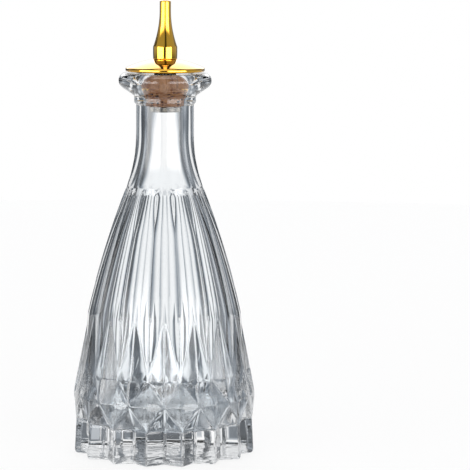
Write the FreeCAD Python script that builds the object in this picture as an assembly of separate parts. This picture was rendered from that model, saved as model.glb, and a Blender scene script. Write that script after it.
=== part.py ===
import FreeCAD, Part
import math
import os

Vector = FreeCAD.Vector

# Bitters bottle: a cut-glass bottle closed by a cork with a gilt metal dasher top.
# Millimetres, +Z up, origin at the centre of the foot.

# Cut pattern: flutes, spikes, diamonds and foot grooves all repeat this often round the glass
flute_count = 16
flute_steps = 6

# Glass heights, stacked from the table up
foot_bevel = 0.8
foot_height = 13.6
lower_diamond_height = 9.2
upper_diamond_height = 9.5
spike_height = 22.2
flute_height = 46.0
arch_rise = 2.8
arch_margin = 0.4
shoulder_height = 19.3
neck_height = 12.0
bead_step_height = 0.6
bead_height = 2.6
lip_slope_height = 3.3
lip_round_height = 5.5

# Glass radii at the ridges, the depth of the cuts between them, and the steps out from the neck
foot_radius = 35.5
foot_top_radius = 34.8
foot_groove_depth = 4.9
girth_radius = 35.3
diamond_top_radius = 31.7
spike_crown = 2.41
spike_top_radius = 30.1
flute_depth = 0.45
flute_top_depth = 0.6
flute_top_step = 1.4
body_bulge = 0.95
shoulder_flare = 3.45
bead_stand = 0.75
lip_overhang = 6.75
lip_under_inset = 1.2
lip_top_inset = 1.9
lip_widest_share = 0.45

# Hollow of the glass
bore_radius = 7.0
neck_wall = 4.15
body_wall = 3.1
floor_thickness = 11.5
floor_corner_radius = 3.0
mouth_flare = 2.4
mouth_rounding = 2.5
socket_depth = 13.0
sole_width = 7.8
punt_depth = 1.2

# Metal top and cork
lip_gap = 0.5
rim_radius = 15.3
rim_thickness = 1.4
dome_rise = 3.6
rim_rounding = 0.6
spout_seat_width = 0.95
spout_barrel_bulge = 0.07
spout_barrel_height = 4.8
spout_crease_step = 0.06
spout_taper_height = 14.0
spout_tip_wall = 1.15
spout_tip_height = 3.1
spout_tip_rounding = 0.5
jet_radius = 1.0
jet_length = 5.0
spigot_length = 9.0
spigot_wall = 0.6
stem_radius = 4.25
stem_wall = 0.6
cork_drop = 3.2
cork_length = 10.1
cork_nose_inset = 0.95
cork_nose_length = 1.1
collar_inset = 0.55
collar_height = 2.0
collar_rounding = 0.4

# Fits
press_gap = 0.02
running_gap = 0.05
turning_gap = 0.1

sector = 2 * math.pi / flute_count
half_sector = sector / 2
chord_share = math.cos(half_sector)

# Levels of the glass
diamond_base = foot_height
girth = diamond_base + lower_diamond_height
diamond_top = girth + upper_diamond_height
spike_top = diamond_top + spike_height
flute_top = spike_top + flute_height
arch_peak = flute_top + arch_rise
shoulder_base = arch_peak + arch_margin
neck_base = shoulder_base + shoulder_height
bead_base = neck_base + neck_height
bead_edge = bead_base + bead_step_height
lip_base = bead_edge + bead_height
lip_under = lip_base + lip_slope_height
lip_top = lip_under + lip_round_height
neck_radius = bore_radius + neck_wall
bead_radius = neck_radius + bead_stand
shoulder_radius = neck_radius + shoulder_flare
flute_top_radius = shoulder_radius + flute_top_step
spring_radius = flute_top_radius - flute_top_step * arch_margin / (arch_rise + arch_margin)
lip_radius = neck_radius + lip_overhang
mouth_radius = bore_radius + mouth_flare
socket_base = lip_top - socket_depth
socket_top = lip_top - mouth_rounding
groove_share = (foot_top_radius - foot_groove_depth) / foot_top_radius


def polar(radius, angle, height):
    return Vector(radius * math.cos(angle), radius * math.sin(angle), height)


def profile(radius, height):
    return Vector(radius, 0, height)


def line(start, end):
    return Part.LineSegment(start, end).toShape()


def arc(start, middle, end):
    return Part.Arc(start, middle, end).toShape()


def bowed(start, end, bulge):
    """Arc in the profile plane that stands out from its chord by the bulge, to the right of its way."""
    run = end - start
    outward = Vector(run.z, 0, -run.x).normalize()
    return arc(start, (start + end) / 2 + outward * bulge, end)


def flared(straight, end):
    """Arc in the profile plane, upright at its first point, that sweeps to the second."""
    rise = end.z - straight.z
    spread = end.x - straight.x
    sweep_radius = (rise * rise + spread * spread) / (2 * spread)
    sweep = math.asin(rise / sweep_radius)
    middle = profile(straight.x + sweep_radius * (1 - math.cos(sweep / 2)),
                     straight.z + sweep_radius * math.sin(sweep / 2))
    return arc(straight, middle, end)


def cap_height(radius, rise, reach):
    """Height of a spherical cap above its base at a distance from its axis."""
    sphere_radius = (radius * radius + rise * rise) / (2 * rise)
    return math.sqrt(sphere_radius * sphere_radius - reach * reach) - sphere_radius + rise


def domed(radius, base, rise, inner):
    """Arc in the profile plane over a spherical cap, from its edge in to an inner radius."""
    stops = (radius, (radius + inner) / 2, inner)
    return arc(*[profile(stop, base + cap_height(radius, rise, stop)) for stop in stops])


def rounded(flat_end, upright_end):
    """Middle of a quarter round between the ends of a flat and of an upright profile line."""
    bend_share = math.sqrt(1 / 2)
    return profile(flat_end.x + (upright_end.x - flat_end.x) * bend_share,
                   upright_end.z + (flat_end.z - upright_end.z) * bend_share)


def chain(*points):
    return [line(start, end) for start, end in zip(points, points[1:])]


def turned(edges):
    """Solid of revolution from the edges of a closed profile."""
    face = Part.Face(Part.Wire(Part.__sortEdges__(edges)))
    return face.revolve(Vector(), Vector(0, 0, 1), 360)


def facet(*points):
    return Part.Face(Part.makePolygon(list(points) + [points[0]]))


def patch(*sections):
    """Smooth skin through half flutes, from or to a point if one is given."""
    shapes = [Part.Vertex(section) if isinstance(section, Vector) else Part.Wire(section)
              for section in sections]
    return Part.makeLoft(shapes, False, False).Faces


def half_flute(ridge_radius, depth, height, turn, side):
    """Half of a flute's hollow section: from its bottom line to the ridge on one side."""
    half_width = ridge_radius * math.sin(half_sector)
    bottom = ridge_radius * chord_share - depth
    hollow_radius = (half_width * half_width + depth * depth) / (2 * depth)
    reach = math.asin(half_width / hollow_radius)
    points = []
    for angle in (0, reach / 2, reach):
        across = side * hollow_radius * math.sin(angle)
        out = bottom + hollow_radius * (1 - math.cos(angle))
        points.append(polar(math.hypot(out, across), turn + math.atan2(across, out), height))
    return arc(*points)


def flute_sizes(share):
    """Ridge radius, depth and level of a flute at a share of its length from the spike."""
    bow = 4 * share * (1 - share) * body_bulge
    ridge_radius = spike_top_radius + share * (flute_top_radius - spike_top_radius) + bow
    depth = flute_depth + share * (flute_top_depth - flute_depth)
    return ridge_radius, depth, spike_top + share * flute_height


def half_arch(turn, side):
    """Half of the round arch that closes a flute: from its peak down to the ridge on one side."""
    bend_share = math.sqrt(1 / 2)
    points = []
    for rise_share, turn_share in ((1, 0), (bend_share, bend_share), (0, 1)):
        radius = spring_radius + rise_share * (shoulder_radius - spring_radius)
        height = flute_top + arch_margin + rise_share * (arch_rise - arch_margin)
        points.append(polar(radius, turn + side * turn_share * half_sector, height))
    return arc(*points)


def cut_sector(turn):
    """Outer faces of one flute with its spike, half diamonds, arrowhead and foot groove."""
    faces = []
    foot_rows = [(foot_radius - foot_bevel, 0), (foot_radius, foot_bevel), (foot_top_radius, foot_height)]
    girth_point = polar(girth_radius, turn, girth)
    crown = polar(diamond_top_radius * chord_share + spike_crown, turn, diamond_top)
    spike_point = polar(spike_top_radius * chord_share - flute_depth, turn, spike_top)
    for side in (-1, 1):
        ridge = turn + side * half_sector
        lobe = [polar(radius, ridge, height) for radius, height in foot_rows]
        groove = [polar(radius * groove_share, turn, height) for radius, height in foot_rows]
        for row in range(len(foot_rows) - 1):
            faces.append(facet(groove[row], lobe[row], lobe[row + 1], groove[row + 1]))
        faces.append(facet(groove[-1], lobe[-1], girth_point))
        diamond_point = polar(diamond_top_radius, ridge, diamond_top)
        faces.append(facet(girth_point, diamond_point, crown))
        faces.append(facet(crown, diamond_point, spike_point))
        shares = [step / flute_steps for step in range(flute_steps + 1)]
        sections = [half_flute(*flute_sizes(share), turn, side) for share in shares]
        faces += patch(diamond_point, sections[0])
        faces += patch(*sections)
        arch = half_arch(turn, side)
        shoulder_edge = arc(*[polar(shoulder_radius, turn + side * step * half_sector / 2, shoulder_base)
                              for step in range(3)])
        faces.append(Part.makeRuledSurface(sections[-1], arch))
        faces.append(Part.makeRuledSurface(arch, shoulder_edge))
    ridge = turn + half_sector
    next_girth = polar(girth_radius, turn + sector, girth)
    faces.append(facet(girth_point, polar(foot_top_radius, ridge, foot_height), next_girth))
    faces.append(facet(girth_point, next_girth, polar(diamond_top_radius, ridge, diamond_top)))
    return faces


# Fits and levels of the stopper
spigot_radius = stem_radius - stem_wall - press_gap
spout_base_radius = spigot_radius + spout_seat_width
disc_base = lip_top + lip_gap
rim_top = disc_base + rim_thickness
spout_base = rim_top + cap_height(rim_radius, dome_rise, spout_base_radius)
cork_top = disc_base - cork_drop
cork_bottom = cork_top - cork_length
collar_base = cork_bottom - turning_gap - collar_height


def glass_outline():
    """Profile edges of the plain glass, from the shoulder over the lip and down to the hollow's floor."""
    neck_foot = profile(neck_radius, neck_base)
    slope_end = profile(lip_radius - lip_under_inset, lip_under)
    widest = profile(lip_radius, lip_under + lip_widest_share * lip_round_height)
    land_edge = profile(lip_radius - lip_top_inset, lip_top)
    mouth_edge = profile(mouth_radius + mouth_rounding, lip_top)
    mouth_foot = profile(mouth_radius, socket_top)
    bore_foot = profile(bore_radius, neck_base)
    hollow_shoulder = profile(flute_top_radius * chord_share - flute_top_depth - body_wall, flute_top)
    hollow_spike = profile(spike_top_radius * chord_share - flute_depth - body_wall, spike_top)
    hollow_low = profile(diamond_top_radius * chord_share - body_wall, diamond_top)
    corner_top = profile(hollow_low.x, floor_thickness + floor_corner_radius)
    corner_end = profile(hollow_low.x - floor_corner_radius, floor_thickness)
    edges = [flared(neck_foot, profile(shoulder_radius, shoulder_base))]
    edges += chain(neck_foot, profile(neck_radius, bead_base), profile(bead_radius, bead_edge),
                   profile(bead_radius, lip_base), slope_end)
    edges.append(arc(slope_end, widest, land_edge))
    edges += chain(land_edge, mouth_edge)
    edges.append(arc(mouth_edge, rounded(mouth_edge, mouth_foot), mouth_foot))
    edges += chain(mouth_foot, profile(bore_radius, socket_base), bore_foot)
    edges.append(flared(bore_foot, hollow_shoulder))
    edges.append(bowed(hollow_spike, hollow_shoulder, body_bulge))
    edges += chain(hollow_spike, hollow_low, corner_top)
    edges.append(arc(corner_top, rounded(corner_end, corner_top), corner_end))
    edges += chain(corner_end, profile(0, floor_thickness))
    return edges


def glass_bottle():
    """Closed glass skin: the cut sectors, the turned faces that join them and the foot."""
    faces = []
    sole = []
    sole_radius = foot_radius - foot_bevel
    punt_radius = sole_radius * groove_share - sole_width
    for edge in glass_outline():
        faces += edge.revolve(Vector(), Vector(0, 0, 1), 360).Faces
    for index in range(flute_count):
        turn = index * sector
        faces += cut_sector(turn)
        sole += [polar(sole_radius * groove_share, turn, 0), polar(sole_radius, turn + half_sector, 0)]
    punt_edge = Part.makeCircle(punt_radius)
    faces += Part.Face(Part.makePolygon(sole + sole[:1])).cut(Part.Face(Part.Wire(punt_edge))).Faces
    punt = domed(punt_radius, 0, punt_depth, 0)
    faces += punt.revolve(Vector(), Vector(0, 0, 1), 360).Faces
    skin = Part.makeCompound(faces)
    skin.sewShape()
    return Part.makeSolid(skin).removeSplitter()


def cork_stopper():
    """Cork plug, tapered to the mouth of the glass, with a chamfered nose and a bore for the stem."""
    hole_radius = stem_radius + running_gap
    nose_top = cork_bottom + cork_nose_length
    taper = mouth_flare / (socket_top - socket_base)
    top_radius = bore_radius + (cork_top - socket_base) * taper - running_gap
    nose_radius = bore_radius + (nose_top - socket_base) * taper - running_gap
    return turned(chain(profile(hole_radius, cork_top), profile(top_radius, cork_top),
                        profile(nose_radius, nose_top), profile(nose_radius - cork_nose_inset, cork_bottom),
                        profile(hole_radius, cork_bottom), profile(hole_radius, cork_top)))


def cap_disc():
    """Domed disc with a rounded rim, a flat seat for the spout and a hole for its spigot."""
    hole_radius = spigot_radius + press_gap
    rim_foot = profile(rim_radius - rim_rounding, disc_base)
    rim_low = profile(rim_radius, disc_base + rim_rounding)
    edges = chain(profile(hole_radius, disc_base), rim_foot)
    edges.append(arc(rim_foot, rounded(rim_foot, rim_low), rim_low))
    edges += chain(rim_low, profile(rim_radius, rim_top))
    edges.append(domed(rim_radius, rim_top, dome_rise, spout_base_radius))
    edges += chain(profile(spout_base_radius, spout_base), profile(hole_radius, spout_base),
                   profile(hole_radius, disc_base))
    return turned(edges)


def spout():
    """Turned nozzle: barrel, hollow taper and tip, with a spigot below and a fine jet above."""
    base = profile(spout_base_radius, spout_base)
    crease = profile(spout_base_radius + spout_crease_step, spout_base + spout_barrel_height)
    taper_end = profile(jet_radius + spout_tip_wall, crease.z + spout_taper_height)
    tip_edge = profile(taper_end.x, taper_end.z + spout_tip_height)
    tip_top = profile(taper_end.x - spout_tip_rounding, tip_edge.z + spout_tip_rounding)
    bore = spigot_radius - spigot_wall
    spigot_end = spout_base - spigot_length
    jet_foot = tip_top.z - jet_length
    edges = [bowed(base, crease, spout_barrel_bulge), flared(taper_end, crease)]
    edges += chain(taper_end, tip_edge)
    edges.append(arc(tip_edge, rounded(tip_top, tip_edge), tip_top))
    edges += chain(tip_top, profile(jet_radius, tip_top.z), profile(jet_radius, jet_foot),
                   profile(bore, crease.z), profile(bore, spigot_end),
                   profile(spigot_radius, spigot_end), profile(spigot_radius, spout_base), base)
    return turned(edges)


def stem_tube():
    """Plain tube from the disc down through the cork and the collar."""
    bore = stem_radius - stem_wall
    return turned(chain(profile(bore, disc_base), profile(stem_radius, disc_base),
                        profile(stem_radius, collar_base), profile(bore, collar_base),
                        profile(bore, disc_base)))


def stem_collar():
    """Polished ring pressed on the stem below the cork, with rounded outer edges."""
    bore = stem_radius + press_gap
    collar_radius = bore_radius - collar_inset
    top = collar_base + collar_height
    low_foot = profile(collar_radius - collar_rounding, collar_base)
    low_side = profile(collar_radius, collar_base + collar_rounding)
    high_side = profile(collar_radius, top - collar_rounding)
    high_top = profile(collar_radius - collar_rounding, top)
    edges = chain(profile(bore, collar_base), low_foot)
    edges.append(arc(low_foot, rounded(low_foot, low_side), low_side))
    edges += chain(low_side, high_side)
    edges.append(arc(high_side, rounded(high_top, high_side), high_top))
    edges += chain(high_top, profile(bore, top), profile(bore, collar_base))
    return turned(edges)


os.makedirs("parts", exist_ok=True)
glass_bottle().exportStep("parts/glass_bottle.step")
cork_stopper().exportStep("parts/cork_stopper.step")
cap_disc().exportStep("parts/cap_disc.step")
spout().exportStep("parts/spout.step")
stem_tube().exportStep("parts/stem_tube.step")
stem_collar().exportStep("parts/stem_collar.step")
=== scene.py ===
import math

import bmesh
import bpy
from mathutils import Matrix, Vector, noise


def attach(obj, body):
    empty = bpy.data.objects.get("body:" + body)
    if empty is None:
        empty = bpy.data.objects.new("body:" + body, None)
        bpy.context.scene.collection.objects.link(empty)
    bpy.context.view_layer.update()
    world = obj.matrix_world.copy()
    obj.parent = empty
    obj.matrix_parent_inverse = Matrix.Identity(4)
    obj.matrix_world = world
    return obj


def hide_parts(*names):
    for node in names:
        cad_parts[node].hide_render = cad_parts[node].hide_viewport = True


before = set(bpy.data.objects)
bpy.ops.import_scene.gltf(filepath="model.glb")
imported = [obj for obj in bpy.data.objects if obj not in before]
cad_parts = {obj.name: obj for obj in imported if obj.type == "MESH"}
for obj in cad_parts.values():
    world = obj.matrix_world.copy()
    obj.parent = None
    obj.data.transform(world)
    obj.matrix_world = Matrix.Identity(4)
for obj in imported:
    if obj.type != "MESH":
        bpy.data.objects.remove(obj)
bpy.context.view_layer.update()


# Glass bottle: one piece of clear pressed glass, its facets cut and fire-polished. Sixteen like sectors,
# each with a foot block, arrowhead, diamond, spike and flute, stand under a plain neck and lip, and the
# plunger left the smooth hollow inside. Sizes are in millimetres until a mesh is finished.

FLUTES = 16
HALF_SECTOR = math.pi / FLUTES
CHORD = math.cos(HALF_SECTOR)
ARC_STEPS = 8
ROUND_STEPS = 2 * FLUTES * ARC_STEPS

FOOT_EDGES = [(34.7, 0), (35.5, 0.8), (34.8, 13.6)]
GROOVE_DEPTH = 4.9
GIRTH_RADIUS, GIRTH_HEIGHT = 35.3, 22.8
DIAMOND_TIP_RADIUS, CROWN_RADIUS, DIAMOND_TOP = 31.7, 33.5, 32.3
FACET_RIM, FACET_DIP, SMALL_FACET = 1.0, 0.25, 12

SPIKE_TOP, SPIKE_ROWS = 54.5, 3
RIDGE_RADIUS, FLUTE_DEPTH = 30.1, 0.45
HALF_WIDTH = RIDGE_RADIUS * math.sin(HALF_SECTOR)
FLUTE_TOP, FLUTE_TOP_RADIUS, FLUTE_SWELL, FLUTE_ROWS = 100.5, 16.0, 0.95, 24
SCOOP_FROM, SCOOP = 0.7, 1.6
ARCH_FOOT, ARCH_RISE, ARCH_RADIUS, ARCH_LEAN = 100.9, 2.4, 15.825, 1.225
SHOULDER_RADIUS, SHOULDER = 14.6, 103.7

# Corners of the turned parts, each a radius and a height.
NECK_FOOT = (11.15, 123)
BEAD_FOOT, BEAD_STEP, BEAD_TOP = (11.15, 135.0), (11.9, 135.6), (11.9, 138.2)
LIP_EDGE, LIP_TOP, MOUTH_RIM = (16.7, 141.5), (16.0, 147), (9.4, 147)
MOUTH, BORE_TOP, BORE_FOOT = (9.4, 144.5), (7.0, 134.0), (7.0, 123)
HOLLOW_SHOULDER, HOLLOW_MIDDLE, HOLLOW_SIDE = (12.0, 100.5), (25.97, 54.5), (27.99, 32.3)
HOLLOW_CORNER, HOLLOW_FLOOR = (27.99, 11.5), (0, 11.5)
PUNT_EDGE, PUNT_TOP = (21.92, 0), (0, 1.2)

CREASE_ANGLE, FLAT_ANGLE = math.radians(4.4), math.radians(0.1)
CUT_ROUNDING, FLUTE_ROUNDING, VALLEY_ROUNDING = 0.5, 0.4, 0.2
SKIN_RADIUS, SKIN_TAPER, SKIN_TAPER_FROM = 27.5, 0.29, 50
MERGE, SLIVER, NEAR = 0.001, 0.004, 0.01


class Pen:
    """Draws a lathe profile, radius by height, in straight and bowed strokes, and turns it round the axis."""

    def __init__(self, mesh, radius, height):
        self.mesh = mesh
        self.tip = mesh.verts.new((radius, 0, height))
        self.corners = []

    def line(self, radius, height, rounding=0):
        """Straight stroke to a point, whose corner is rounded when the profile is turned."""
        end = self.mesh.verts.new((radius, 0, height))
        self.mesh.edges.new((self.tip, end))
        if rounding:
            self.corners.append((end, rounding))
        self.tip = end
        return self

    def bow(self, radius, height, bulge, steps):
        """Arc to a point that stands out from its chord by the bulge, to the right of its way."""
        start = self.tip.co.copy()
        run = Vector((radius, 0, height)) - start
        right = Vector((run.z, 0, -run.x)).normalized()
        reach = run.length / 2
        bend = (reach * reach + bulge * bulge) / (2 * bulge)
        sweep = 2 * math.asin(reach / bend)
        arc = bmesh.ops.spin(self.mesh, geom=[self.tip], cent=start + run / 2 + right * (bulge - bend),
                             axis=(0, 1, 0), angle=-sweep, steps=steps)
        self.tip = next(item for item in arc["geom_last"] if isinstance(item, bmesh.types.BMVert))
        return self

    def turned(self, steps):
        """Rounds the marked corners and spins the profile into a skin."""
        for corner, rounding in self.corners:
            bmesh.ops.bevel(self.mesh, geom=[corner], offset=rounding, offset_type="OFFSET",
                            affect="VERTICES", segments=5, profile=0.5, material=-1, clamp_overlap=True)
        profile = [edge for edge in self.mesh.edges if edge.is_wire]
        points = list(dict.fromkeys(point for edge in profile for point in edge.verts))
        bmesh.ops.spin(self.mesh, geom=points + profile, cent=(0, 0, 0), axis=(0, 0, 1),
                       angle=2 * math.pi, steps=steps, use_merge=True)


def glass_point(radius, share, height):
    """Point at a share of the half sector, from the groove that faces the viewer to the next ridge."""
    angle = share * HALF_SECTOR
    return Vector((radius * math.sin(angle), -radius * math.cos(angle), height))


def grown_row(glass, edges):
    """Extrudes a row of edges, and gives the points and the edges of the new row."""
    grown = bmesh.ops.extrude_edge_only(glass, edges=edges)["geom"]
    points = [item for item in grown if isinstance(item, bmesh.types.BMVert)]
    row = [item for item in grown if isinstance(item, bmesh.types.BMEdge)
           and item.verts[0] in points and item.verts[1] in points]
    return points, row


def cut_facets(glass):
    """Half a foot block, arrowhead and diamond; gives the diamond's tip and the crown beside it."""
    groove_share = 1 - GROOVE_DEPTH / FOOT_EDGES[-1][0]
    girth = glass.verts.new(glass_point(GIRTH_RADIUS, 0, GIRTH_HEIGHT))
    girth_side = glass.verts.new(glass_point(GIRTH_RADIUS * CHORD, 1, GIRTH_HEIGHT))
    diamond_tip = glass.verts.new(glass_point(DIAMOND_TIP_RADIUS, 1, DIAMOND_TOP))
    crown = glass.verts.new(glass_point(CROWN_RADIUS, 0, DIAMOND_TOP))
    grooves = [glass.verts.new(glass_point(radius * groove_share, 0, height)) for radius, height in FOOT_EDGES]
    lobes = [glass.verts.new(glass_point(radius, 1, height)) for radius, height in FOOT_EDGES]
    for row in range(len(FOOT_EDGES) - 1):
        glass.faces.new((grooves[row], lobes[row], lobes[row + 1], grooves[row + 1]))
    glass.faces.new((grooves[-1], lobes[-1], girth))
    glass.faces.new((girth, lobes[-1], girth_side))
    glass.faces.new((girth, girth_side, diamond_tip))
    glass.faces.new((girth, diamond_tip, crown))
    return diamond_tip, crown


def cut_spike(glass, diamond_tip, crown):
    """Half a spike, and beside it the pointed start of a flute; gives the flute's section at its widest."""
    bottom = RIDGE_RADIUS * CHORD - FLUTE_DEPTH
    bend = (HALF_WIDTH * HALF_WIDTH + FLUTE_DEPTH * FLUTE_DEPTH) / (2 * FLUTE_DEPTH)
    spike_tip = glass.verts.new(glass_point(bottom, 0, SPIKE_TOP))
    bmesh.ops.spin(glass, geom=[spike_tip], cent=glass_point(bottom + bend, 0, SPIKE_TOP), axis=(0, 0, 1),
                   angle=-math.asin(HALF_WIDTH / bend), steps=ARC_STEPS)
    section = [edge for edge in glass.edges if edge.is_wire]
    row = section
    for left in range(SPIKE_ROWS, 0, -1):
        points, row = grown_row(glass, row)
        shrink = (left - 1) / left
        bmesh.ops.scale(glass, vec=(shrink, shrink, shrink), space=Matrix.Translation(-diamond_tip.co),
                        verts=points)
    slope = diamond_tip.co - spike_tip.co
    side = [point for point in glass.verts if DIAMOND_TOP + NEAR < point.co.z < SPIKE_TOP - NEAR
            and (point.co - spike_tip.co).cross(slope).length < NEAR]
    side.sort(key=lambda point: point.co.z)
    glass.faces.new([crown, diamond_tip] + side + [spike_tip])
    return section


def arch_row(glass, edges):
    """Extrudes a row of edges to the rounded arch that closes a flute, in three bands."""
    points, row = grown_row(glass, edges)
    points.sort(key=lambda point: math.atan2(point.co.x, -point.co.y))
    for step, point in enumerate(points):
        share = math.sin(step / ARC_STEPS * math.pi / 2)
        rise = math.sqrt(1 - share * share)
        point.co = glass_point(ARCH_RADIUS - ARCH_LEAN * rise, share, ARCH_FOOT + ARCH_RISE * rise)
    rungs = [edge for point in points for edge in point.link_edges if edge not in row]
    bmesh.ops.subdivide_edges(glass, edges=rungs, cuts=2, use_grid_fill=True)


def cut_flute(glass, section):
    """Half a flute, drawn up from its section to the arch, and the glass between the arch and the shoulder."""
    row, last_taper, last_scoop = section, 1, 1
    for step in range(1, FLUTE_ROWS + 1):
        share = step / FLUTE_ROWS
        radius = (RIDGE_RADIUS + share * (FLUTE_TOP_RADIUS - RIDGE_RADIUS)
                  + 4 * share * (1 - share) * FLUTE_SWELL)
        points, row = grown_row(glass, row)
        taper = radius / RIDGE_RADIUS / last_taper
        bmesh.ops.scale(glass, vec=(taper, taper, 1), verts=points)
        bmesh.ops.translate(glass, vec=(0, 0, (FLUTE_TOP - SPIKE_TOP) / FLUTE_ROWS), verts=points)
        last_taper *= taper
        scoop = 1 + SCOOP * max(share - SCOOP_FROM, 0) / (1 - SCOOP_FROM)
        bmesh.ops.scale(glass, vec=(1, scoop / last_scoop, 1),
                        space=Matrix.Translation((0, radius * CHORD, 0)), verts=points)
        last_scoop = scoop
    arch_row(glass, row)
    spandrel = glass.verts.new(glass_point(SHOULDER_RADIUS, 0, SHOULDER))
    bmesh.ops.spin(glass, geom=[spandrel], cent=(0, 0, SHOULDER), axis=(0, 0, 1), angle=HALF_SECTOR,
                   steps=ARC_STEPS)
    arch_row(glass, [edge for edge in glass.edges if edge.is_wire])


def thin_strips(glass):
    """Edges between strips at the start of a flute that are too narrow there to take a rounded ridge."""
    tip = glass_point(DIAMOND_TIP_RADIUS, 1, DIAMOND_TOP)
    row_height = (SPIKE_TOP - DIAMOND_TOP) / SPIKE_ROWS
    too_near_side = {1: ARC_STEPS, 2: 3, 3: 2}
    thin = []
    for edge in glass.edges:
        lower, upper = sorted((point.co for point in edge.verts), key=lambda spot: spot.z)
        below = lower.z < DIAMOND_TOP - NEAR
        above = upper.z > SPIKE_TOP + NEAR
        if below or above or upper.z - lower.z < row_height / 2:
            continue
        row = round((upper.z - DIAMOND_TOP) / row_height)
        head = tip + (upper - tip) * (SPIKE_TOP - DIAMOND_TOP) / (upper.z - DIAMOND_TOP)
        strip = round(ARC_STEPS * head.x / HALF_WIDTH)
        from_side = min(strip, ARC_STEPS - strip)
        on_line = (lower - tip).cross(upper - tip).length < NEAR
        if on_line and 0 < from_side < too_near_side[row]:
            thin.append(edge)
    return thin


def top_of(item):
    """Height of the highest point of an edge or a face."""
    return max(point.co.z for point in item.verts)


def whole(glass):
    return glass.verts[:] + glass.edges[:] + glass.faces[:]


def cut_skin():
    """The cut outside, from the foot to the shoulder: a half sector, mirrored and spun, its facets dished."""
    glass = bmesh.new()
    section = cut_spike(glass, *cut_facets(glass))
    cut_flute(glass, section)
    bmesh.ops.remove_doubles(glass, verts=glass.verts, dist=MERGE)
    bmesh.ops.dissolve_edges(glass, edges=thin_strips(glass), use_verts=True)
    bmesh.ops.mirror(glass, geom=whole(glass), axis="X", merge_dist=MERGE)
    bmesh.ops.spin(glass, geom=whole(glass), cent=(0, 0, 0), axis=(0, 0, 1),
                   angle=2 * math.pi * (FLUTES - 1) / FLUTES, steps=FLUTES - 1, use_duplicate=True)
    bmesh.ops.remove_doubles(glass, verts=glass.verts, dist=MERGE)
    flat = [edge for edge in glass.edges if len(edge.link_faces) == 2
            and edge.calc_face_angle() < FLAT_ANGLE and top_of(edge) < DIAMOND_TOP + NEAR]
    bmesh.ops.dissolve_edges(glass, edges=flat, use_verts=True)
    facets = [face for face in glass.faces
              if top_of(face) < DIAMOND_TOP + NEAR and face.calc_area() > SMALL_FACET]
    bmesh.ops.inset_individual(glass, faces=facets, thickness=FACET_RIM, depth=-FACET_DIP,
                               use_even_offset=True)
    return glass


def turned_skin():
    """Neck, lip, mouth and hollow in one turned skin, and the shallow hollow under the foot."""
    skin = bmesh.new()
    pen = Pen(skin, SHOULDER_RADIUS, SHOULDER).bow(*NECK_FOOT, bulge=-0.869, steps=14)
    pen.line(*BEAD_FOOT, rounding=0.4).line(*BEAD_STEP, rounding=0.3).line(*BEAD_TOP, rounding=0.6)
    pen.line(*LIP_EDGE, rounding=0.8).bow(*LIP_TOP, bulge=1.537, steps=14).line(*MOUTH_RIM, rounding=2.5)
    pen.line(*MOUTH).line(*BORE_TOP).line(*BORE_FOOT)
    pen.bow(*HOLLOW_SHOULDER, bulge=1.29, steps=14).bow(*HOLLOW_MIDDLE, bulge=-0.95, steps=20)
    pen.line(*HOLLOW_SIDE, rounding=3.0).line(*HOLLOW_CORNER, rounding=3.0).line(*HOLLOW_FLOOR)
    pen.turned(ROUND_STEPS)
    Pen(skin, *PUNT_EDGE).bow(*PUNT_TOP, bulge=0.3, steps=10).turned(ROUND_STEPS)
    return skin


def on_cut_skin(point):
    """Whether a point lies further out than the hollow does at its height."""
    taper = SKIN_TAPER * max(point.co.z - SKIN_TAPER_FROM, 0)
    return math.hypot(point.co.x, point.co.y) > SKIN_RADIUS - taper


def creases(glass):
    """Edges between the facets and between the flutes of the cut outside."""
    found = []
    for edge in glass.edges:
        if len(edge.link_faces) != 2 or edge.calc_face_angle() <= CREASE_ANGLE:
            continue
        heights = [point.co.z for point in edge.verts]
        under_shoulder = max(heights) < SHOULDER + NEAR and min(heights) < SHOULDER - NEAR
        across_flute = all(abs(height - SPIKE_TOP) < NEAR for height in heights)
        if under_shoulder and not across_flute and all(on_cut_skin(point) for point in edge.verts):
            found.append(edge)
    return found


def glass_mesh():
    glass = cut_skin()
    upper = bpy.data.meshes.new("turned_skin")
    turned_skin().to_mesh(upper)
    glass.from_mesh(upper)
    bpy.data.meshes.remove(upper)
    bmesh.ops.remove_doubles(glass, verts=glass.verts, dist=MERGE)
    sole = [edge for edge in glass.edges
            if edge.is_boundary and max(abs(point.co.z) for point in edge.verts) < MERGE]
    bmesh.ops.triangle_fill(glass, edges=sole, normal=(0, 0, -1), use_beauty=True)
    bmesh.ops.recalc_face_normals(glass, faces=glass.faces)

    found = creases(glass)
    ridges = [edge for edge in found if edge.is_convex]
    kinds = [([edge for edge in ridges if top_of(edge) < SPIKE_TOP + NEAR], CUT_ROUNDING),
             ([edge for edge in ridges if top_of(edge) >= SPIKE_TOP + NEAR], FLUTE_ROUNDING),
             ([edge for edge in found if not edge.is_convex], VALLEY_ROUNDING)]
    for edges, rounding in kinds:
        bmesh.ops.bevel(glass, geom=[edge for edge in edges if edge.is_valid], offset=rounding,
                        offset_type="OFFSET", affect="EDGES", segments=3, profile=0.5, material=-1,
                        clamp_overlap=True)
    bmesh.ops.remove_doubles(glass, verts=glass.verts, dist=SLIVER)
    bmesh.ops.dissolve_degenerate(glass, edges=glass.edges, dist=SLIVER)
    return glass


def finished(mesh, name):
    """Brings a mesh from millimetres to metres, shades it smooth and makes it an object."""
    bmesh.ops.scale(mesh, vec=(0.001, 0.001, 0.001), verts=mesh.verts)
    data = bpy.data.meshes.new(name)
    mesh.to_mesh(data)
    mesh.free()
    for face in data.polygons:
        face.use_smooth = True
    piece = bpy.data.objects.new(name, data)
    bpy.context.scene.collection.objects.link(piece)
    return piece


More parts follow.
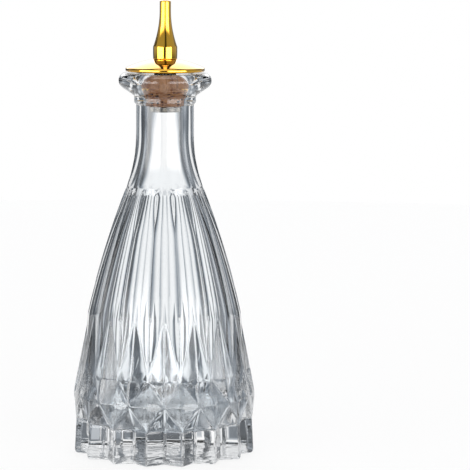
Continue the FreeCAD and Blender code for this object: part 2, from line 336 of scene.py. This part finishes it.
class Finish:
    """A shader socket that takes part in sums, so that a finish reads as plain arithmetic."""

    def __init__(self, tree, socket=None):
        self.tree = tree
        self.socket = socket

    def node(self, kind, settings=None, sockets=None, out=0):
        """Adds a node: its settings first, then the values or links of its sockets."""
        made = self.tree.nodes.new("ShaderNode" + kind)
        for name, value in (settings or {}).items():
            setattr(made, name, value)
        for name, value in (sockets or {}).items():
            if isinstance(value, Finish):
                self.tree.links.new(value.socket, made.inputs[name])
            else:
                made.inputs[name].default_value = value
        return Finish(self.tree, made.outputs[out])

    def math(self, operation, *values):
        return self.node("Math", {"operation": operation}, dict(enumerate(values)))

    def __add__(self, other):
        return self.math("ADD", self, other)

    def __radd__(self, other):
        return self.math("ADD", other, self)

    def __sub__(self, other):
        return self.math("SUBTRACT", self, other)

    def __rsub__(self, other):
        return self.math("SUBTRACT", other, self)

    def __mul__(self, other):
        return self.math("MULTIPLY", self, other)

    def __rmul__(self, other):
        return self.math("MULTIPLY", other, self)

    def ease(self, low, high):
        """Rises smoothly from 0 at the low value to 1 at the high one."""
        return self.node("MapRange", {"interpolation_type": "SMOOTHSTEP"},
                         {"Value": self, "From Min": low, "From Max": high})

    def blend(self, first, second):
        """Colour that goes from the first to the second as this value rises."""
        return self.node("Mix", {"data_type": "RGBA"}, {0: self, 6: first, 7: second}, 2)

    def mottle(self, scale, detail):
        """Soft, irregular pattern laid on these coordinates."""
        return self.node("TexNoise", None, {"Vector": self, "Scale": scale, "Detail": detail})

    def stretched(self, kind, scale):
        """These coordinates, drawn out or pressed together along each axis."""
        return self.node("Mapping", {"vector_type": kind}, {"Vector": self, "Scale": scale})

    def into(self, socket):
        """Links this value to a shader's own socket."""
        self.tree.links.new(self.socket, socket)

    def relief(self, surface, strength, distance):
        """Makes this value the height of a surface's fine relief."""
        bump = self.node("Bump", None, {"Strength": strength, "Distance": distance, "Height": self})
        bump.into(surface.inputs["Normal"])


def new_finish(name):
    """New material, its nodes, the object coordinates that its pattern lies on, and its surface shader."""
    material = bpy.data.materials.new(name)
    material.use_nodes = True
    finish = Finish(material.node_tree)
    place = finish.node("TexCoord", out="Object")
    surface = material.node_tree.nodes["Principled BSDF"]
    return material, finish, place, surface


GLASS_INDEX = 1.47
CLEAR = (0.99, 0.995, 0.997, 1)
THIN_TINT, THICK_TINT = (0.965, 0.985, 1.0, 1), (0.925, 0.967, 1.0, 1)
HAZE = 0.012
SMOOTH, CLOUDED, CLOUDS = 0.02, 0.04, 0.22
RIPPLE, LOW_RIPPLE, SOLE_RIPPLE = 0.1, 0.9, 2.5

# Heights and reaches of the moulded glass, in metres.
LOW_GLASS, SOLE_GLASS = (0.026, 0.050), (0.002, 0.006)
HOLLOW_LOW, HOLLOW_HIGH = 0.010, 0.110
FLOOR_LOW, FLOOR_HIGH, FLOOR_REACH = 0.0110, 0.0120, 0.030
SOLE_HIGH, FACING_DOWN = 0.002, -0.9


def new_glass(name):
    """New glass finish, see-through, that bends light as pressed glass does."""
    material, finish, place, surface = new_finish(name)
    surface.inputs["Transmission Weight"].default_value = 1
    surface.inputs["IOR"].default_value = GLASS_INDEX
    return material, finish, place, surface


def cut_glass():
    """Polished glass of the cut outside and the neck, with faint haze and waves."""
    material, finish, place, surface = new_glass("cut_glass")
    surface.inputs["Base Color"].default_value = CLEAR
    haze = place.mottle(scale=90.0, detail=3.0).ease(0.45, 0.75)
    (HAZE * haze).into(surface.inputs["Roughness"])
    place.mottle(scale=110.0, detail=1.0).relief(surface, strength=0.05, distance=0.0005)
    return material


def moulded_glass():
    """Glass of the hollow and under the foot: smooth up the body, cloudy and rippled low down."""
    material, finish, place, surface = new_glass("moulded_glass")
    height = finish.node("SeparateXYZ", None, {0: place}, "Z")
    low = 1 - height.ease(*LOW_GLASS)
    sole = 1 - height.ease(*SOLE_GLASS)
    low.blend(THIN_TINT, THICK_TINT).into(surface.inputs["Base Color"])
    cloud = place.mottle(scale=160.0, detail=2.0).ease(0.35, 0.7)
    (SMOOTH + low * (CLOUDED + CLOUDS * cloud)).into(surface.inputs["Roughness"])
    ripple = place.mottle(scale=240.0, detail=1.0) * (RIPPLE + LOW_RIPPLE * low + SOLE_RIPPLE * sole)
    ripple.relief(surface, strength=0.3, distance=0.0005)
    return material


def is_moulded(face):
    """Whether the plunger or the bottom of the mould left this face, and not the cutter."""
    out = Vector((face.center.x, face.center.y, 0))
    height = face.center.z
    hollow_side = face.normal.dot(out) < 0 and HOLLOW_LOW < height < HOLLOW_HIGH
    hollow_floor = out.length < FLOOR_REACH and FLOOR_LOW < height < FLOOR_HIGH
    under_foot = face.normal.z < FACING_DOWN and height < SOLE_HIGH
    return hollow_side or hollow_floor or under_foot


bottle = finished(glass_mesh(), "glass")
bottle.data.materials.append(cut_glass())
bottle.data.materials.append(moulded_glass())
for face in bottle.data.polygons:
    if is_moulded(face):
        face.material_index = 1
flat_facets = bottle.modifiers.new("facets", "WEIGHTED_NORMAL")
flat_facets.keep_sharp = False
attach(bottle, "bottle")
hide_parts("glass_bottle")


# Cork: a plug of natural cork, ground to the taper of the mouth, where it sits squeezed in the glass.
# It is bored through for the stem, its lower end is chamfered, and pores of the bark open on its side.

CORK_BORE, CORK_TOP, CORK_FOOT = 4.3, 144.3, 134.2
CORK_RIM_RADIUS, CORK_NOSE_RADIUS = 9.27, 6.3
CORK_CHAMFER = (7.22, 135.3)
CORK_OUTSIDE, CORK_TALL, CORK_CUTS = 6, 3, 44
PORE_PATTERN, PORE_STRETCH, PORE_REACH, PORE_SLOPE = 0.6, 1.4, 0.38, 0.18
PORE_DEPTH, PORES_END = 0.5, 143.2
GRAIN_PATTERN, GRAIN_DEPTH = 2.3, 0.035


def closed(mesh):
    """Merges the seam and the poles of a turned skin and points its faces outwards."""
    bmesh.ops.remove_doubles(mesh, verts=mesh.verts, dist=MERGE)
    bmesh.ops.recalc_face_normals(mesh, faces=mesh.faces)
    return mesh


def cork_mesh():
    cork = bmesh.new()
    pen = Pen(cork, CORK_BORE, CORK_TOP).line(CORK_RIM_RADIUS, CORK_TOP, rounding=0.4)
    pen.line(*CORK_CHAMFER, rounding=0.4).line(CORK_NOSE_RADIUS, CORK_FOOT, rounding=0.3)
    pen.line(CORK_BORE, CORK_FOOT).line(CORK_BORE, CORK_TOP)
    pen.turned(steps=160)
    closed(cork)
    upright = [edge for edge in cork.edges if abs(edge.verts[0].co.z - edge.verts[1].co.z) > CORK_TALL
               and math.hypot(*edge.verts[0].co.xy) > CORK_OUTSIDE]
    bmesh.ops.subdivide_edges(cork, edges=upright, cuts=CORK_CUTS, use_grid_fill=True)
    depth = cork.verts.layers.float.new("pit")
    for point in cork.verts:
        reach = math.hypot(point.co.x, point.co.y)
        if reach > CORK_OUTSIDE:
            spot = Vector((point.co.x, point.co.y, PORE_STRETCH * point.co.z))
            near = noise.voronoi(spot * PORE_PATTERN)[0][0]
            fade = min(1, max(0, PORES_END - point.co.z))
            pit = min(1, max(0, PORE_REACH - near) / PORE_SLOPE) * fade
            dent = PORE_DEPTH * pit + GRAIN_DEPTH * abs(noise.noise(spot * GRAIN_PATTERN))
            point[depth] = pit
            point.co.x *= 1 - dent / reach
            point.co.y *= 1 - dent / reach
    return cork


def shade(red, green, blue):
    """Colour as seen on a screen, 0 to 255, in the linear values that the shaders take."""
    return tuple(c / 12.92 if c <= 0.04045 else ((c + 0.055) / 1.055) ** 2.4
                 for c in (red / 255, green / 255, blue / 255)) + (1,)


CORK_PALE, CORK_STREAK = shade(204, 146, 97), shade(164, 104, 62)
CORK_SPECKLE, CORK_PORE = shade(116, 68, 38), shade(52, 24, 16)
SPECKLE_SHARE, CORK_ROUGHNESS = 0.7, 0.85


def natural_cork():
    """Tan cork with darker growth streaks, fine grain and deep brown pores."""
    material, finish, place, surface = new_finish("natural_cork")
    streak = place.stretched("TEXTURE", (1, 1, 0.3)).mottle(scale=260.0, detail=3.0).ease(0.35, 0.65)
    grain = place.mottle(scale=1500.0, detail=4.0)
    tan = streak.blend(CORK_PALE, CORK_STREAK)
    speckled = (grain.ease(0.5, 0.72) * SPECKLE_SHARE).blend(tan, CORK_SPECKLE)
    pore = finish.node("Attribute", {"attribute_name": "pit"}, None, "Fac").ease(0.05, 0.35)
    pore.blend(speckled, CORK_PORE).into(surface.inputs["Base Color"])
    surface.inputs["Roughness"].default_value = CORK_ROUGHNESS
    grain.relief(surface, strength=0.6, distance=0.0003)
    return material


plug = finished(cork_mesh(), "cork")
plug.data.materials.append(natural_cork())
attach(plug, "cork")
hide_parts("cork_stopper")


# Stem: a drawn steel tube that goes down through the cork and takes the liquid up to the spout.
# It is pressed on the spout's spigot at the top, and its lower end is rounded and carries the collar.

STEM_BORE, STEM_RADIUS = 3.65, 4.25
STEM_TOP, STEM_FOOT, STEM_ROUNDING = 147.5, 132.1, 0.12


def stem_mesh():
    stem = bmesh.new()
    pen = Pen(stem, STEM_BORE, STEM_TOP).line(STEM_RADIUS, STEM_TOP)
    pen.line(STEM_RADIUS, STEM_FOOT, STEM_ROUNDING).line(STEM_BORE, STEM_FOOT, STEM_ROUNDING)
    pen.line(STEM_BORE, STEM_TOP)
    pen.turned(steps=96)
    return closed(stem)


STEEL, STEEL_MARKED = shade(162, 157, 148), shade(140, 135, 126)
STEEL_ROUGHNESS, STEEL_RING_ROUGHNESS, STEEL_RINGS = 0.03, 0.06, (40, 40, 9000)


def polished_steel():
    """Turned steel with fine rings left by the tool and faint handling marks."""
    material, finish, place, surface = new_finish("polished_steel")
    surface.inputs["Metallic"].default_value = 1
    rings = place.stretched("POINT", STEEL_RINGS).mottle(scale=1.0, detail=2.0)
    marks = place.mottle(scale=500.0, detail=3.0).ease(0.3, 0.7)
    marks.blend(STEEL, STEEL_MARKED).into(surface.inputs["Base Color"])
    roughness = STEEL_ROUGHNESS + STEEL_RING_ROUGHNESS * rings.ease(0.35, 0.7)
    roughness.into(surface.inputs["Roughness"])
    rings.relief(surface, strength=0.25, distance=0.00003)
    return material


steel = polished_steel()
stem = finished(stem_mesh(), "stem")
stem.data.materials.append(steel)
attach(stem, "dash_top")
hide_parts("stem_tube")


# Collar: a ring of steel, turned and polished, with a full rounding on its lower edge.
# It is pressed on the lower end of the stem, just under the cork, and keeps the cork from slipping off.

COLLAR_BORE, COLLAR_RADIUS = 4.27, 6.45
COLLAR_TOP, COLLAR_FOOT = 134.1, 132.1


def collar_mesh():
    collar = bmesh.new()
    pen = Pen(collar, COLLAR_BORE, COLLAR_TOP).line(COLLAR_RADIUS, COLLAR_TOP, rounding=0.3)
    pen.line(COLLAR_RADIUS, COLLAR_FOOT, rounding=0.6).line(COLLAR_BORE, COLLAR_FOOT, rounding=0.1)
    pen.line(COLLAR_BORE, COLLAR_TOP)
    pen.turned(steps=128)
    return closed(collar)


collar = finished(collar_mesh(), "collar")
collar.data.materials.append(steel)
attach(collar, "dash_top")
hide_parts("stem_collar")


# Disc: a domed brass cap with a rounded rim, turned, gilded and polished to a mirror.
# It covers the lip of the glass, a hair above it, and sits fast on the spout's spigot and the stem's end.

DISC_BORE, DISC_RADIUS = 3.65, 15.3
DISC_FOOT, DISC_EDGE, DISC_TOP, DISC_ROUNDING = 147.5, 148.9, 152.2, 0.6
SPOUT_FOOT_RADIUS = 4.58


def disc_mesh():
    disc = bmesh.new()
    pen = Pen(disc, DISC_BORE, DISC_FOOT).line(DISC_RADIUS, DISC_FOOT, DISC_ROUNDING)
    pen.line(DISC_RADIUS, DISC_EDGE, DISC_ROUNDING).bow(SPOUT_FOOT_RADIUS, DISC_TOP, bulge=0.41, steps=24)
    pen.line(DISC_BORE, DISC_TOP).line(DISC_BORE, DISC_FOOT)
    pen.turned(steps=192)
    return closed(disc)


GOLD, GOLD_DEEP = shade(234, 176, 8), shade(224, 164, 4)
GOLD_ROUGHNESS, GOLD_RING_ROUGHNESS, GOLD_RINGS = 0.05, 0.06, (30, 30, 6000)
LACQUER_INDEX, LACQUER_ROUGHNESS = 1.6, 0.05


def gilding():
    """Bright gold plate, a little deeper in places, under clear lacquer with faint lathe rings."""
    material, finish, place, surface = new_finish("gilding")
    surface.inputs["Metallic"].default_value = 1
    patches = place.mottle(scale=90.0, detail=3.0).ease(0.3, 0.7)
    patches.blend(GOLD, GOLD_DEEP).into(surface.inputs["Base Color"])
    rings = place.stretched("POINT", GOLD_RINGS).mottle(scale=1.0, detail=2.0).ease(0.35, 0.7)
    (GOLD_ROUGHNESS + GOLD_RING_ROUGHNESS * rings).into(surface.inputs["Roughness"])
    surface.inputs["Coat Weight"].default_value = 1
    surface.inputs["Coat IOR"].default_value = LACQUER_INDEX
    surface.inputs["Coat Roughness"].default_value = LACQUER_ROUGHNESS
    return material


gilt = gilding()
disc = finished(disc_mesh(), "disc")
disc.data.materials.append(gilt)
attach(disc, "dash_top")
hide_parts("cap_disc")


# Spout: a slender brass nozzle, turned from bar, bored for the liquid and gilded with the disc.
# Its spigot goes down through the disc and is pressed into the stem, and a small jet opens at its tip.

SPOUT_FOOT, SPOUT_WAIST, SPOUT_WAIST_RADIUS = 152.2, 157.0, 4.64
TIP_FOOT, TIP_TOP, TIP_RADIUS = 171.0, 174.6, 2.15
JET_FOOT, JET_RADIUS = 169.6, 1.0
SPIGOT_FOOT, SPIGOT_BORE, SPIGOT_RADIUS = 143.2, 3.03, 3.63


def spout_mesh():
    spout = bmesh.new()
    pen = Pen(spout, SPOUT_FOOT_RADIUS, SPOUT_FOOT).bow(SPOUT_WAIST_RADIUS, SPOUT_WAIST, bulge=0.07, steps=12)
    pen.bow(TIP_RADIUS, TIP_FOOT, bulge=-0.632, steps=24).line(TIP_RADIUS, TIP_TOP, rounding=0.5)
    pen.line(JET_RADIUS, TIP_TOP, rounding=0.15).line(JET_RADIUS, JET_FOOT).line(SPIGOT_BORE, SPOUT_WAIST)
    pen.line(SPIGOT_BORE, SPIGOT_FOOT).line(SPIGOT_RADIUS, SPIGOT_FOOT).line(SPIGOT_RADIUS, SPOUT_FOOT)
    pen.line(SPOUT_FOOT_RADIUS, SPOUT_FOOT)
    pen.turned(steps=128)
    return closed(spout)


spout = finished(spout_mesh(), "spout_tip")
spout.data.materials.append(gilt)
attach(spout, "dash_top")
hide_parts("spout")


# Studio: a pale floor under soft boxes, open to a white background. The floor lies a hair below the foot,
# so that light inside the glass turns back at the sole as it does over air. The boxes are stretches of
# the world, placed in degrees round from the back of the bottle and up from the horizon.

FLOOR_RADIUS, FLOOR_DROP = 900, 0.3
FLOOR_GREY, FLOOR_ROUGHNESS, FLOOR_WHITE_SHARE = (0.9, 0.9, 0.9, 1), 0.6, 0.87
WHITE, COOL_SHADE = (1, 1, 1, 1), (0.86, 0.97, 1.1, 1)
COOL_LEVELS = (0.1, 0.95)
ROOM_LEVEL, THROUGH_GLASS_MOST = 0.065, 0.78
SHEETS_ROUND, SHEETS_FROM, SHEET_LEVEL, SHEET_DIP = 8, (48, 78), 0.95, 0.75
SHEET_LOW, SHEET_LOW_SHARE, SHEET_HIGH, SHEET_HIGH_DIP = (-70, -20), 0.6, (5, 35), 0.45

# left, right, low, high, soft edge
BACKDROP_HIGH, BACKDROP_LOW = (-15, 17, -8, 8, 6), (-8, 11, -60, -8, 6)

# left, right, low, high, soft edge, brightness
PANELS = [
    (-46, -14, -32, -15, 4, 0.08), (15, 48, -32, -15, 4, 0.08), (24, 55, -60, 20, 8, 0.1),
    (40, 125, -60, -14, 8, 0.26), (-125, -50, -60, -14, 8, 0.22),
    (62, 164, 12, 40, 6, 0.42), (-174, -75, 12, 40, 6, 0.42),
    (48, 164, -6, 12, 6, 0.46), (-166, -50, -6, 12, 6, 0.46),
    (118, 171, -14, 17, 5, 6.0), (-162, -103, -14, 17, 5, 6.0),
    (-35, 35, 10, 50, 5, 2.2), (125, 260, 54, 78, 6, 3.0), (-260, -125, 54, 78, 6, 3.0),
    (-260, 260, 78, 120, 8, 1.0), (-260, 260, -120, -50, 10, 0.3)]


def floor_piece():
    """Pale disc of floor, white to the eye and in mirrors, that keeps the shadow of the bottle."""
    floor = bmesh.new()
    bmesh.ops.create_circle(floor, cap_ends=True, segments=96, radius=FLOOR_RADIUS,
                            matrix=Matrix.Translation((0, 0, -FLOOR_DROP)))
    piece = finished(floor, "floor")
    piece.visible_transmission = False
    material, finish, place, surface = new_finish("pale_floor")
    surface.inputs["Base Color"].default_value = FLOOR_GREY
    surface.inputs["Roughness"].default_value = FLOOR_ROUGHNESS
    white = finish.node("Emission", None, {"Color": WHITE, "Strength": 1.0})
    seen = finish.node("LightPath", out="Is Camera Ray")
    glossy = finish.node("LightPath", out="Is Glossy Ray")
    share = (seen + glossy) * FLOOR_WHITE_SHARE
    pale = Finish(finish.tree, surface.outputs[0])
    mixed = finish.node("MixShader", None, {0: share, 1: pale, 2: white})
    mixed.into(material.node_tree.nodes["Material Output"].inputs["Surface"])
    piece.data.materials.append(material)


def studio_world():
    """Soft boxes in a dim room. The eye sees white, and glass seen through shows even sheets at the sides."""
    world = bpy.data.worlds.new("studio")
    world.use_nodes = True
    bpy.context.scene.world = world
    finish = Finish(world.node_tree)
    way = finish.node("TexCoord", out="Generated")
    aside, ahead, up = [finish.node("SeparateXYZ", None, {0: way}, axis) for axis in "XYZ"]
    turn = finish.math("ARCTAN2", aside, ahead) * math.degrees(1)
    rise = finish.math("ARCSINE", up) * math.degrees(1)

    def stretch(left, right, low, high, soft):
        across = turn.ease(left - soft, left + soft) - turn.ease(right - soft, right + soft)
        return across * (rise.ease(low - soft, low + soft) - rise.ease(high - soft, high + soft))

    level = ROOM_LEVEL
    for left, right, low, high, soft, brightness in PANELS:
        level = level + stretch(left, right, low, high, soft) * brightness

    seen = finish.node("LightPath", out="Is Camera Ray")
    through = finish.node("LightPath", out="Is Transmission Ray")
    mirrored = finish.math("MAXIMUM", finish.node("LightPath", out="Is Glossy Ray"), through)
    at_sides = finish.math("ABSOLUTE", turn).ease(*SHEETS_FROM)
    gap = 0.5 - 0.5 * finish.math("COSINE", turn * math.radians(SHEETS_ROUND))
    lower = SHEET_LOW_SHARE + (1 - SHEET_LOW_SHARE) * rise.ease(*SHEET_LOW)
    higher = 1 - SHEET_HIGH_DIP * rise.ease(*SHEET_HIGH)
    sheets = (SHEET_LEVEL - SHEET_DIP * gap * gap) * lower * higher
    too_bright = finish.math("MAXIMUM", level - THROUGH_GLASS_MOST, 0)
    level = level + through * (at_sides * (sheets - level) - (1 - at_sides) * too_bright)
    backdrop = stretch(*BACKDROP_HIGH) + stretch(*BACKDROP_LOW)
    share = seen + mirrored * (1 - seen) * backdrop
    strength = share + (1 - share) * level
    back = world.node_tree.nodes["Background"]
    strength.ease(*COOL_LEVELS).blend(COOL_SHADE, WHITE).into(back.inputs["Color"])
    strength.into(back.inputs["Strength"])


LENS, SENSOR_WIDTH = 199.5, 36
EYE, AIM, LEAN = Vector((0, -1.0, 0.207)), Vector((0.0272, 0, 0.0843)), math.radians(0.35)
LIGHT_BOUNCES = 32

floor_piece()
studio_world()
view = bpy.data.cameras.new("camera")
view.lens = LENS
view.sensor_width = SENSOR_WIDTH
camera = bpy.data.objects.new("camera", view)
bpy.context.scene.collection.objects.link(camera)
sight = (AIM - EYE).to_track_quat("-Z", "Y").to_matrix().to_4x4()
camera.matrix_world = Matrix.Translation(EYE) @ sight @ Matrix.Rotation(LEAN, 4, "Z")
bpy.context.scene.camera = camera
bpy.context.scene.view_settings.view_transform = "Standard"
bpy.context.scene.cycles.max_bounces = LIGHT_BOUNCES
bpy.context.scene.cycles.transmission_bounces = LIGHT_BOUNCES
